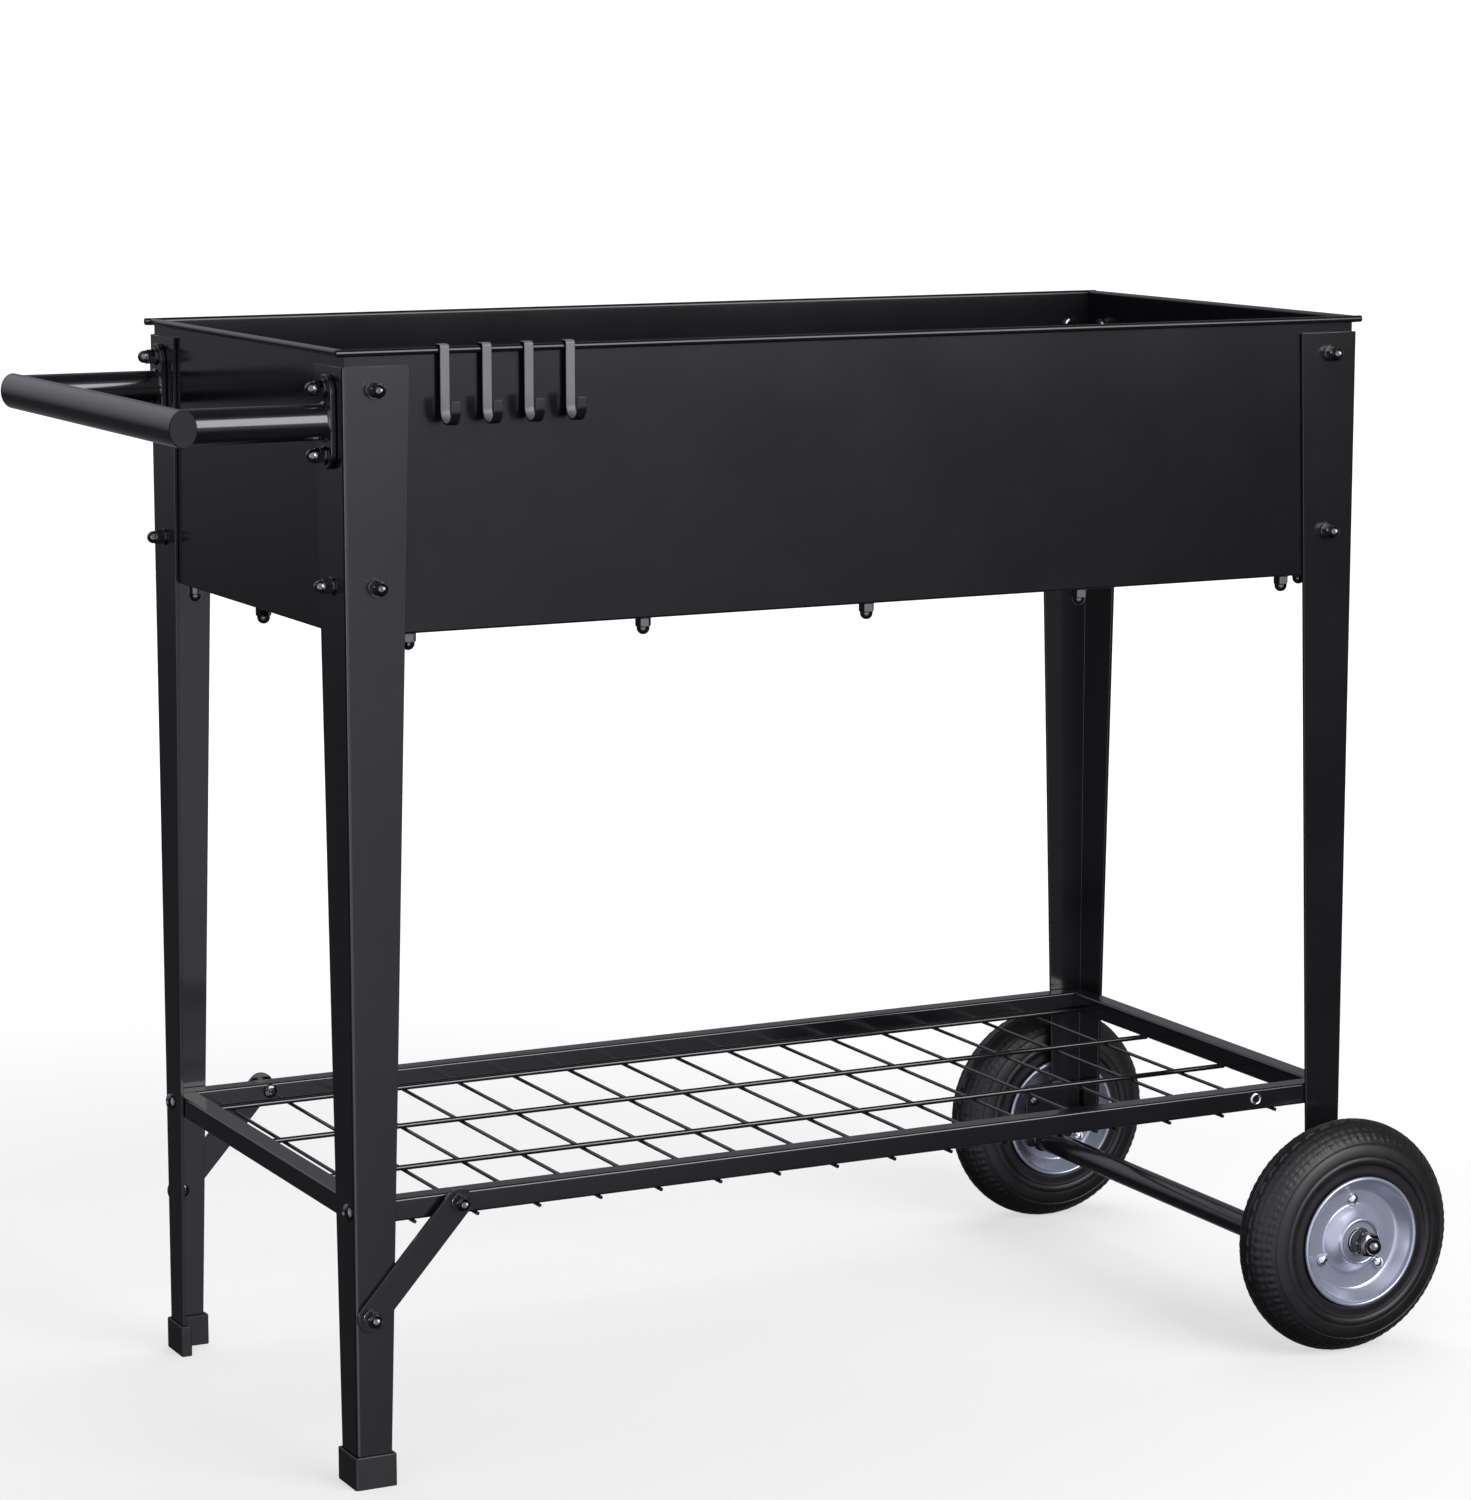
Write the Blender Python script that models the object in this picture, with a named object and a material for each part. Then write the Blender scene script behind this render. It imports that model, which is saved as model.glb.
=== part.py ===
"""Plant trolley: raised planter tub on four angle legs, with shelf, push handle, hooks and two wheels.

Metres, +Z up. +X runs along the length towards the wheels, -Y is the front with the hooks.
The origin is the centre of the bounding box in plan, on the ground.
"""
import math

import bmesh
import bpy
from mathutils import Matrix, Vector

COLLECTION = "plant_trolley"
ORIGIN_X = 0.021825          # from the tub centre to the middle of the overall length
GAP = 0.0003                 # clearance between neighbouring parts

HALF_LEN = 0.4130            # outer corner of the legs, along X
HALF_WID = 0.1930            # outer corner of the legs, along Y
LEG_T = 0.0025
LEG_TOP = 0.7880
LEG_W_TOP = 0.0494           # side flange width at the top of a leg
LEG_W_FOOT = 0.0263          # side flange width at the boot
END_EXTRA = 0.0022           # the end flange is wider by this much
BOOT_H = 0.0240
LEG_FOOT = 0.0040            # leg end inside its boot
WHEEL_LEG_FOOT = 0.0835

SHEET = 0.0012
PANEL_X = HALF_LEN - LEG_T - GAP     # outer face of the end panels
PANEL_Y = HALF_WID - LEG_T - GAP     # outer face of the long panels
RIM_TOP = 0.8000
HEM_R = 0.0025
HEM_Z = RIM_TOP - HEM_R
TUB_BOTTOM = 0.6040
LIP = 0.0200                 # bottom flange that carries the floor
HEM_END_X = HALF_LEN + 0.0040

BOLT_R = 0.0030
HOLE_R = 0.0035
FRONT_BOLT_X = 0.3898
END_BOLT_Y = 0.1695
BOLT_Z_HIGH = 0.7722
BOLT_Z_LOW = 0.6374

HANDLE_Z = 0.7500
HANDLE_X = -0.5231
HANDLE_HALF = 0.1840
GRIP_RX, GRIP_RZ = 0.00975, 0.0130
TUBE_WALL = 0.0015
ARM_R = 0.0125
ARM_Y = END_BOLT_Y
PLATE_T = 0.0040
PLATE_W = 0.0250
PLATE_H = 0.0650
PLATE_BOLT = 0.0228          # plate bolts above and below the arm

RAIL = 0.0160
RAIL_WALL = 0.0015
RAIL_TOP = 0.2060
RAIL_Z = RAIL_TOP - RAIL / 2
RAIL_Y = PANEL_Y - 0.0001    # outer face of the long rails
RAIL_X = PANEL_X - 0.0001
WIRE_R, LONG_WIRE_R = 0.0014, 0.0020
WIRE_X0, WIRE_PITCH, WIRE_COUNT = -0.3661, 0.04806, 16
WIRE_Z = RAIL_TOP - RAIL - 0.0002 - WIRE_R
LONG_WIRE_Z = WIRE_Z + WIRE_R + LONG_WIRE_R - 0.0006
LONG_WIRE_Y = (-0.1715, -0.0580, 0.0580, 0.1715)

BRACE_W, BRACE_T = 0.0205, 0.0030
BRACE_LOW = (-0.4022, 0.1245)
BRACE_HIGH = (-0.3345, RAIL_Z + 0.0020)

AXLE_X = 0.3978
TYRE_R = 0.0914
WHEEL_Y = 0.2228
HUB_HALF = 0.0238
AXLE_R = 0.0050
BAR_X, BAR_Z, BAR_R = 0.3743, 0.0775, 0.0098
BRACKET_T = 0.0030

HOOK_X0, HOOK_PITCH, HOOK_COUNT = -0.3389, 0.0314, 4
HOOK_W, HOOK_T = 0.0068, 0.0016
HOOK_BEND = 0.0095
HOOK_BEND_Z = 0.7575
HOOK_TIP_Z = 0.7640


def clear_scene():
    for obj in list(bpy.data.objects):
        bpy.data.objects.remove(obj, do_unlink=True)
    collection = bpy.data.collections.new(COLLECTION)
    bpy.context.scene.collection.children.link(collection)
    return collection


PARTS = clear_scene()


def to_object(name, bm):
    """Close a bmesh into a node of the trolley, in tub-centred coordinates."""
    bmesh.ops.remove_doubles(bm, verts=bm.verts, dist=1e-7)
    bmesh.ops.recalc_face_normals(bm, faces=bm.faces)
    mesh = bpy.data.meshes.new(name)
    bm.to_mesh(mesh)
    bm.free()
    obj = bpy.data.objects.new(name, mesh)
    PARTS.objects.link(obj)
    return obj


def combine(obj, tool, operation):
    """Apply one exact Boolean and drop the tool."""
    mod = obj.modifiers.new("combine", "BOOLEAN")
    mod.operation = operation
    mod.solver = "EXACT"
    mod.object = tool
    graph = bpy.context.evaluated_depsgraph_get()
    graph.update()
    mesh = bpy.data.meshes.new_from_object(obj.evaluated_get(graph))
    obj.modifiers.clear()
    obj.data = mesh
    mesh.name = obj.name
    bpy.data.objects.remove(tool, do_unlink=True)
    return obj


def loft(bm, sections):
    """Skin closed sections with equal point counts and cap both ends."""
    rings = [[bm.verts.new(p) for p in section] for section in sections]
    count = len(rings[0])
    for a, b in zip(rings, rings[1:]):
        for i in range(count):
            j = (i + 1) % count
            bm.faces.new((a[i], a[j], b[j], b[i]))
    bm.faces.new(list(reversed(rings[0])))
    bm.faces.new(rings[-1])


def prism(bm, outline, axis, low, high):
    """Extrude a 2-D outline along X, Y or Z; the outline holds the other two coordinates in order."""
    def place(point, along):
        values = list(point)
        values.insert("XYZ".index(axis), along)
        return values
    loft(bm, [[place(p, low) for p in outline], [place(p, high) for p in outline]])


def box(bm, x, y, z):
    prism(bm, [(x[0], y[0]), (x[1], y[0]), (x[1], y[1]), (x[0], y[1])], "Z", z[0], z[1])


def oval(rx, rz, count, centre=(0.0, 0.0), turn=0.0):
    return [(centre[0] + rx * math.cos(2 * math.pi * (i + turn) / count),
             centre[1] + rz * math.sin(2 * math.pi * (i + turn) / count)) for i in range(count)]


def rod(bm, axis, centre, radius, low, high, count=12, turn=0.5):
    prism(bm, oval(radius, radius, count, centre, turn), axis, low, high)


def rounded_bar(a, b, half, steps=5):
    """Outline of a flat bar with round ends between two bolt centres."""
    along = math.atan2(b[1] - a[1], b[0] - a[0])
    points = []
    for centre, start in ((b, along - math.pi / 2), (a, along + math.pi / 2)):
        for i in range(steps + 1):
            t = start + math.pi * i / steps
            points.append((centre[0] + half * math.cos(t), centre[1] + half * math.sin(t)))
    return points


def lathe(bm, rings, centre, side, count, closed):
    """Turn rings about an axis along Y. A ring is (y, radius) or (y, radius, radius of the odd points)."""
    made = []
    for ring in rings:
        y, even = ring[0], ring[1]
        odd = ring[2] if len(ring) > 2 else even
        if even == 0:
            made.append([bm.verts.new((centre[0], centre[1] + side * y, centre[2]))])
            continue
        verts = []
        for i in range(count):
            r = odd if i % 2 else even
            t = 2 * math.pi * i / count
            verts.append(bm.verts.new((centre[0] + r * math.cos(t), centre[1] + side * y,
                                       centre[2] + r * math.sin(t))))
        made.append(verts)
    pairs = list(zip(made, made[1:]))
    if closed:
        pairs.append((made[-1], made[0]))
    for a, b in pairs:
        for i in range(count):
            j = (i + 1) % count
            if len(a) == 1:
                bm.faces.new((a[0], b[j], b[i]))
            elif len(b) == 1:
                bm.faces.new((a[i], a[j], b[0]))
            else:
                bm.faces.new((a[i], a[j], b[j], b[i]))


def drill(obj, holes):
    """Cut round holes given as (axis, centre in the other two axes, radius, low, high)."""
    bm = bmesh.new()
    for axis, centre, radius, low, high in holes:
        rod(bm, axis, centre, radius, low, high, 8)
    return combine(obj, to_object("tool", bm), "DIFFERENCE")


# ---------------------------------------------------------------- tub

def panel_section():
    """Sheet panel with a floor lip at the bottom and an open rolled hem at the top, as (outward, z)."""
    inner = HEM_R - SHEET
    turns = [math.radians(a) for a in range(180, -100, -30)]
    points = [(-LIP, TUB_BOTTOM), (-0.0012, TUB_BOTTOM), (0.0, TUB_BOTTOM + 0.0012)]
    points += [(inner + inner * math.cos(t), HEM_Z + inner * math.sin(t)) for t in turns]
    points += [(inner + HEM_R * math.cos(t), HEM_Z + HEM_R * math.sin(t)) for t in reversed(turns)]
    points += [(-SHEET, TUB_BOTTOM + SHEET), (-LIP, TUB_BOTTOM + SHEET)]
    return points


def long_panel(name, side):
    bm = bmesh.new()
    section = [(side * (PANEL_Y + out), z) for out, z in panel_section()]
    prism(bm, section, "X", -HEM_END_X, HEM_END_X)
    panel = to_object(name, bm)
    outer, inner = sorted((side * (PANEL_Y + 0.01), side * (PANEL_Y - 0.03)))
    lip_low, lip_high = sorted((side * (PANEL_Y - SHEET - GAP / 2), side * (PANEL_Y - 0.03)))
    for sign in (-1, 1):
        for start, z_top, ys in ((PANEL_X, HEM_Z - HEM_R - 0.0002, (outer, inner)),
                                 (PANEL_X - SHEET - GAP, TUB_BOTTOM + 0.003, (lip_low, lip_high))):
            xs = sorted((sign * start, sign * (PANEL_X + 0.02)))
            tool = bmesh.new()
            box(tool, xs, ys, (TUB_BOTTOM - 0.01, z_top))
            combine(panel, to_object("tool", tool), "DIFFERENCE")
    ends = sorted((side * (PANEL_Y - 0.01), side * (PANEL_Y + 0.01)))
    return drill(panel, [("Y", (sx * FRONT_BOLT_X, z), HOLE_R, ends[0], ends[1])
                         for sx in (-1, 1) for z in (BOLT_Z_HIGH, BOLT_Z_LOW)])


def end_bolt_heights(side):
    """Heights of the bolts in the leg flanges on the handle end (-1) or the wheel end (+1)."""
    if side < 0:
        return (HANDLE_Z + PLATE_BOLT, HANDLE_Z - PLATE_BOLT, BOLT_Z_LOW)
    return (BOLT_Z_HIGH, BOLT_Z_LOW)


def end_panel(name, side):
    half = PANEL_Y - SHEET - GAP
    bm = bmesh.new()
    section = [(side * (PANEL_X + out), z) for out, z in panel_section()]
    loft(bm, [[(x, -half, z) for x, z in section], [(x, half, z) for x, z in section]])
    panel = to_object(name, bm)
    lip_x = sorted((side * (PANEL_X - SHEET - GAP / 2), side * (PANEL_X - 0.03)))
    for sign in (-1, 1):
        tool = bmesh.new()
        ys = sorted((sign * (PANEL_Y - LIP - GAP), sign * (PANEL_Y + 0.01)))
        box(tool, lip_x, ys, (TUB_BOTTOM - 0.01, TUB_BOTTOM + 0.003))
        combine(panel, to_object("tool", tool), "DIFFERENCE")
    ends = sorted((side * (PANEL_X - 0.01), side * (PANEL_X + 0.01)))
    return drill(panel, [("X", (sy * END_BOLT_Y, z), HOLE_R, ends[0], ends[1])
                         for sy in (-1, 1) for z in end_bolt_heights(side)])


def tub_floor():
    bm = bmesh.new()
    x, y = PANEL_X - SHEET - GAP, PANEL_Y - SHEET - GAP
    z = TUB_BOTTOM + SHEET + GAP
    box(bm, (-x, x), (-y, y), (z, z + SHEET))
    floor = to_object("tub_floor", bm)
    return drill(floor, [("Z", (0.16 * i, 0.09 * j), 0.0045, z - 0.01, z + 0.01)
                         for i in (-2, -1, 0, 1, 2) for j in (-1, 1)])


# ---------------------------------------------------------------- legs and boots

def leg_width(z):
    return LEG_W_FOOT + (LEG_W_TOP - LEG_W_FOOT) * (z - BOOT_H) / (LEG_TOP - BOOT_H)


def angle_section(sx, sy, corner, width, thick, bend):
    """L section with its outer corner at corner, arms running back towards the tub centre."""
    end = width + END_EXTRA
    local = [(bend, 0), (width, 0), (width, thick), (thick, thick), (thick, end), (0, end),
             (0, bend), (0.293 * bend, 0.293 * bend)]
    return [(sx * (corner[0] - u), sy * (corner[1] - v)) for u, v in local]


def leg(name, sx, sy):
    foot = LEG_FOOT if sx < 0 else WHEEL_LEG_FOOT
    bm = bmesh.new()
    loft(bm, [[(x, y, z) for x, y in angle_section(sx, sy, (HALF_LEN, HALF_WID), leg_width(z), LEG_T, LEG_T)]
              for z in (foot, LEG_TOP)])
    post = to_object(name, bm)
    ys = sorted((sy * (HALF_WID - 0.01), sy * (HALF_WID + 0.01)))
    xs = sorted((sx * (HALF_LEN - 0.01), sx * (HALF_LEN + 0.01)))
    holes = [("Y", (sx * FRONT_BOLT_X, z), HOLE_R, ys[0], ys[1]) for z in (BOLT_Z_HIGH, BOLT_Z_LOW)]
    holes += [("X", (sy * END_BOLT_Y, z), HOLE_R, xs[0], xs[1]) for z in end_bolt_heights(sx)]
    if sx < 0:
        holes.append(("Y", BRACE_LOW, HOLE_R, ys[0], ys[1]))
    else:
        holes.append(("Y", (AXLE_X, TYRE_R), AXLE_R + 0.0006, ys[0], ys[1]))
    return drill(post, holes)


def boot(name, sy):
    wall, floor = 0.0022, LEG_FOOT - GAP
    corner = (HALF_LEN + wall, HALF_WID + wall)
    bm = bmesh.new()
    outer = angle_section(-1, sy, corner, LEG_W_FOOT + 2 * wall + 0.0006, 0.0085, 0.0020)
    prism(bm, outer, "Z", 0.0, BOOT_H)
    cap = to_object(name, bm)
    pocket = bmesh.new()
    slot = angle_section(-1, sy, (HALF_LEN + GAP, HALF_WID + GAP), LEG_W_FOOT + 3 * GAP,
                         LEG_T + 2 * GAP, LEG_T)
    prism(pocket, slot, "Z", floor, BOOT_H + 0.01)
    return combine(cap, to_object("tool", pocket), "DIFFERENCE")


# ---------------------------------------------------------------- handle

def grip():
    half = HANDLE_HALF - SHEET - GAP
    bm = bmesh.new()
    prism(bm, oval(GRIP_RX, GRIP_RZ, 20, (HANDLE_X, HANDLE_Z)), "Y", -half, half)
    bar = to_object("handle_grip", bm)
    bore = bmesh.new()
    prism(bore, oval(GRIP_RX - TUBE_WALL, GRIP_RZ - TUBE_WALL, 20, (HANDLE_X, HANDLE_Z)), "Y", -0.3, 0.3)
    return combine(bar, to_object("tool", bore), "DIFFERENCE")


def grip_plug(name, side):
    centre = (HANDLE_X, HANDLE_Z)
    spigot = TUBE_WALL + GAP
    stops = [HANDLE_HALF - 0.010, HANDLE_HALF - SHEET, HANDLE_HALF - SHEET, HANDLE_HALF]
    shrink = [spigot, spigot, 0.0, 0.0]
    bm = bmesh.new()
    loft(bm, [[(x, side * y, z) for x, z in oval(GRIP_RX - s, GRIP_RZ - s, 20, centre)]
              for y, s in zip(stops, shrink)])
    return to_object(name, bm)


def handle_arm(name, side):
    """Arm tube welded to its bolt plate and coped to the grip."""
    y = side * ARM_Y
    face = -(HALF_LEN + GAP)
    bm = bmesh.new()
    reach = PLATE_H / 2 - PLATE_W / 2
    prism(bm, rounded_bar((y, HANDLE_Z - reach), (y, HANDLE_Z + reach), PLATE_W / 2), "X",
          face - PLATE_T, face)
    arm = to_object(name, bm)
    tube = bmesh.new()
    rod(tube, "X", (y, HANDLE_Z), ARM_R, HANDLE_X, face - PLATE_T / 2, 16)
    combine(arm, to_object("tool", tube), "UNION")
    bore = bmesh.new()
    rod(bore, "X", (y, HANDLE_Z), ARM_R - TUBE_WALL, HANDLE_X - 0.02, face - PLATE_T - 0.0005, 16)
    combine(arm, to_object("tool", bore), "DIFFERENCE")
    cope = bmesh.new()
    prism(cope, oval(GRIP_RX + GAP, GRIP_RZ + GAP, 20, (HANDLE_X, HANDLE_Z)), "Y", -0.3, 0.3)
    combine(arm, to_object("tool", cope), "DIFFERENCE")
    return drill(arm, [("X", (y, HANDLE_Z + k * PLATE_BOLT), HOLE_R, face - 0.01, face + 0.01)
                       for k in (-1, 1)])


# ---------------------------------------------------------------- shelf

def square(centre, half):
    (a, b), h = centre, half
    return [(a - h, b - h), (a + h, b - h), (a + h, b + h), (a - h, b + h)]


def rail(name, axis, centre, half_length):
    """Square tube with open ends."""
    bm = bmesh.new()
    prism(bm, square(centre, RAIL / 2), axis, -half_length, half_length)
    tube = to_object(name, bm)
    bore = bmesh.new()
    prism(bore, square(centre, RAIL / 2 - RAIL_WALL), axis, -half_length - 0.01, half_length + 0.01)
    return combine(tube, to_object("tool", bore), "DIFFERENCE")


def shelf_rails():
    for name, side in (("shelf_rail_front", -1), ("shelf_rail_back", 1)):
        tube = rail(name, "X", (side * (RAIL_Y - RAIL / 2), RAIL_Z), RAIL_X)
        ys = sorted((side * (RAIL_Y - RAIL - 0.01), side * (RAIL_Y + 0.01)))
        drill(tube, [("Y", (sx * abs(BRACE_HIGH[0]), BRACE_HIGH[1]), HOLE_R, ys[0], ys[1]) for sx in (-1, 1)])
    for name, side in (("shelf_rail_handle_end", -1), ("shelf_rail_wheel_end", 1)):
        rail(name, "Y", (side * (RAIL_X - RAIL / 2), RAIL_Z), RAIL_Y - RAIL - GAP)


def shelf_mesh():
    """Welded grille: thicker wires along the shelf between the end rails, thin ones across under all."""
    bm = bmesh.new()
    for i in range(WIRE_COUNT):
        rod(bm, "Y", (WIRE_X0 + i * WIRE_PITCH, WIRE_Z), WIRE_R, -RAIL_Y, RAIL_Y, 6, 0.0)
    grille = to_object("shelf_mesh", bm)
    along = bmesh.new()
    reach = RAIL_X - RAIL - GAP
    for y in LONG_WIRE_Y:
        rod(along, "X", (y, LONG_WIRE_Z), LONG_WIRE_R, -reach, reach, 6, 0.0)
    return combine(grille, to_object("tool", along), "UNION")


def brace(name, side):
    ys = sorted((side * (HALF_WID + GAP), side * (HALF_WID + GAP + BRACE_T)))
    bm = bmesh.new()
    prism(bm, rounded_bar(BRACE_LOW, BRACE_HIGH, BRACE_W / 2), "Y", ys[0], ys[1])
    bar = to_object(name, bm)
    return drill(bar, [("Y", centre, HOLE_R, ys[0] - 0.01, ys[1] + 0.01)
                       for centre in (BRACE_LOW, BRACE_HIGH)])


# ---------------------------------------------------------------- axle bar and wheels

def axle_bar():
    """Cross tube welded between two bracket plates that carry the wheel bolts."""
    face = HALF_WID - LEG_T - GAP
    outline = [(0.3565, 0.0745), (0.3595, 0.0715), (0.3950, 0.0715), (0.4080, 0.0840),
               (0.4080, 0.1220), (0.4050, 0.1250), (0.3595, 0.1250), (0.3565, 0.1220)]
    bm = bmesh.new()
    prism(bm, outline, "Y", -face, -face + BRACKET_T)
    bar = to_object("axle_bar", bm)
    plate = bmesh.new()
    prism(plate, outline, "Y", face - BRACKET_T, face)
    combine(bar, to_object("tool", plate), "UNION")
    tube = bmesh.new()
    rod(tube, "Y", (BAR_X, BAR_Z), BAR_R, -face + 0.001, face - 0.001, 16)
    combine(bar, to_object("tool", tube), "UNION")
    bore = bmesh.new()
    rod(bore, "Y", (BAR_X, BAR_Z), BAR_R - TUBE_WALL, -0.3, 0.3, 16)
    combine(bar, to_object("tool", bore), "DIFFERENCE")
    return drill(bar, [("Y", (AXLE_X, TYRE_R), AXLE_R + 0.0006, -0.3, 0.3)])


def tyre(name, side):
    half = [(0.0152, 0.0395), (0.0226, 0.0500), (0.0237, 0.0520), (0.0245, 0.0531), (0.0252, 0.0640),
            (0.0236, 0.0745), (0.0185, 0.0824), (0.0105, 0.0885)]
    rings = half + [(0.0, TYRE_R)] + [(-y, r) for y, r in reversed(half)]
    bm = bmesh.new()
    lathe(bm, rings, (AXLE_X, side * WHEEL_Y, TYRE_R), side, 28, True)
    return to_object(name, bm)


def rim_half(name, side, facing):
    """Pressed steel half rim: rolled lip, dish, flat web and raised hub cone."""
    rings = [(0.0235, 0.0105), (0.0235, 0.0160), (0.0150, 0.0270), (0.0145, 0.0350), (0.0240, 0.0482),
             (0.0258, 0.0496), (0.0258, 0.0508), (0.0241, 0.0513), (0.0227, 0.0486), (0.0132, 0.0354),
             (0.0137, 0.0262), (0.0222, 0.0152), (0.0222, 0.0105)]
    bm = bmesh.new()
    lathe(bm, rings, (AXLE_X, side * WHEEL_Y, TYRE_R), facing, 24, True)
    return to_object(name, bm)


def hub(name, side):
    spool, neck, bore = 0.0148, 0.0099, AXLE_R + 0.0006
    rings = [(HUB_HALF, bore), (HUB_HALF, neck), (0.0219, neck), (0.0219, spool), (-0.0219, spool),
             (-0.0219, neck), (-HUB_HALF, neck), (-HUB_HALF, bore)]
    bm = bmesh.new()
    lathe(bm, rings, (AXLE_X, side * WHEEL_Y, TYRE_R), side, 16, True)
    return to_object(name, bm)


def axle_bolt(name, side):
    """Shoulder bolt from the bracket plate through leg and hub, with a hex nut and a domed nut."""
    head = HALF_WID - LEG_T - 2 * GAP - BRACKET_T
    end = WHEEL_Y + HUB_HALF + GAP
    start = WHEEL_Y - HUB_HALF - GAP
    flat, corner = 0.0084, 0.0097
    rings = [(head - 0.006, 0), (head - 0.006, corner, flat), (head, corner, flat), (head, AXLE_R),
             (HALF_WID + GAP, AXLE_R), (HALF_WID + GAP, 0.0090), (start, 0.0090), (start, AXLE_R),
             (end, AXLE_R), (end, corner, flat), (end + 0.0065, corner, flat), (end + 0.0071, 0.0070),
             (end + 0.0079, 0.0070), (end + 0.0085, corner, flat), (end + 0.0140, corner, flat),
             (end + 0.0152, 0.0066), (end + 0.0195, 0.0058), (end + 0.0222, 0.0036), (end + 0.0232, 0)]
    bm = bmesh.new()
    lathe(bm, rings, (AXLE_X, 0.0, TYRE_R), side, 12, False)
    return to_object(name, bm)


# ---------------------------------------------------------------- hooks

def hook(name, x):
    """Flat strip hook: over the rolled hem, straight down, then a J towards the front."""
    half = HOOK_T / 2
    hem_y = -(PANEL_Y + HEM_R - SHEET)
    top_r = HEM_R + GAP + half
    front = hem_y - top_r
    bend_y = front - HOOK_BEND
    path = [((hem_y + top_r, 0.7835), (1, 0)), ((hem_y + top_r, HEM_Z), (1, 0))]
    for i in range(1, 6):
        t = math.pi * i / 6
        path.append(((hem_y + top_r * math.cos(t), HEM_Z + top_r * math.sin(t)), (math.cos(t), math.sin(t))))
    path += [((front, HEM_Z), (-1, 0)), ((front, HOOK_BEND_Z), (-1, 0))]
    for i in range(1, 8):
        t = math.pi * i / 8
        path.append(((bend_y + HOOK_BEND * math.cos(t), HOOK_BEND_Z - HOOK_BEND * math.sin(t)),
                     (-math.cos(t), math.sin(t))))
    tip = bend_y - HOOK_BEND
    path += [((tip, HOOK_BEND_Z), (1, 0)), ((tip, HOOK_TIP_Z), (1, 0))]
    outline = [(p[0] + half * n[0], p[1] + half * n[1]) for p, n in path]
    outline += [(p[0] - half * n[0], p[1] - half * n[1]) for p, n in reversed(path)]
    bm = bmesh.new()
    prism(bm, outline, "X", x - HOOK_W / 2, x + HOOK_W / 2)
    return to_object(name, bm)


# ---------------------------------------------------------------- fasteners

def cap_bolt(name, origin, direction, grip_length):
    """Pan-head bolt with a domed nut; origin is on the outermost clamped face."""
    corner = 0.0050 / math.cos(math.pi / 6)
    inside = -grip_length - 0.0002
    rings = [(inside - 0.0028, 0), (inside - 0.0028, 0.0046), (inside, 0.0055), (inside, BOLT_R),
             (0.0002, BOLT_R), (0.0002, corner), (0.0072, corner), (0.0080, 0.0046),
             (0.0112, 0.0038), (0.0134, 0)]
    bm = bmesh.new()
    lathe(bm, rings, (0, 0, 0), 1, 6, False)
    turn = Vector((0, 1, 0)).rotation_difference(Vector(direction)).to_matrix().to_4x4()
    bm.transform(Matrix.Translation(origin) @ turn)
    return to_object(name, bm)


def frame_bolts():
    corners = (("front_handle", -1, -1), ("back_handle", -1, 1), ("front_wheel", 1, -1), ("back_wheel", 1, 1))
    clamp = LEG_T + GAP + SHEET
    for label, sx, sy in corners:
        for level, z in (("upper", BOLT_Z_HIGH), ("lower", BOLT_Z_LOW)):
            cap_bolt(f"bolt_side_{label}_{level}", (sx * FRONT_BOLT_X, sy * HALF_WID, z), (0, sy, 0), clamp)
        for index, z in enumerate(end_bolt_heights(sx), 1):
            plated = sx < 0 and index < 3
            extra = PLATE_T + GAP if plated else 0.0
            cap_bolt(f"bolt_end_{label}_{index}", (sx * (HALF_LEN + extra), sy * END_BOLT_Y, z),
                     (sx, 0, 0), clamp + extra)
    for label, sy in (("front", -1), ("back", 1)):
        face = HALF_WID + GAP + BRACE_T
        cap_bolt(f"bolt_brace_{label}_low", (BRACE_LOW[0], sy * face, BRACE_LOW[1]), (0, sy, 0),
                 face - HALF_WID + LEG_T)
        cap_bolt(f"bolt_brace_{label}_high", (BRACE_HIGH[0], sy * face, BRACE_HIGH[1]), (0, sy, 0),
                 face - RAIL_Y + RAIL)


def build():
    long_panel("tub_panel_front", -1)
    long_panel("tub_panel_back", 1)
    end_panel("tub_panel_handle_end", -1)
    end_panel("tub_panel_wheel_end", 1)
    tub_floor()
    for label, sx, sy in (("front_handle", -1, -1), ("back_handle", -1, 1),
                          ("front_wheel", 1, -1), ("back_wheel", 1, 1)):
        leg(f"leg_{label}", sx, sy)
    for label, side in (("front", -1), ("back", 1)):
        boot(f"boot_{label}", side)
        grip_plug(f"handle_plug_{label}", side)
        handle_arm(f"handle_arm_{label}", side)
        brace(f"brace_{label}", side)
        tyre(f"tyre_{label}", side)
        rim_half(f"rim_outer_{label}", side, side)
        rim_half(f"rim_inner_{label}", side, -side)
        hub(f"hub_{label}", side)
        axle_bolt(f"axle_bolt_{label}", side)
    grip()
    shelf_rails()
    shelf_mesh()
    axle_bar()
    for i in range(HOOK_COUNT):
        hook(f"hook_{i + 1}", HOOK_X0 + i * HOOK_PITCH)
    frame_bolts()
    for obj in PARTS.objects:
        obj.data.transform(Matrix.Translation((ORIGIN_X, 0, 0)))


build()
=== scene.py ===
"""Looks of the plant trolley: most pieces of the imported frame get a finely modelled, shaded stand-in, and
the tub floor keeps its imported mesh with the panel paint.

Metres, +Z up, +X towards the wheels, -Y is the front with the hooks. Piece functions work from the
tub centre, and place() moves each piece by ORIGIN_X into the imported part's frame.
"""
import math

import bmesh
import bpy
from mathutils import Matrix, Vector

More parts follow.
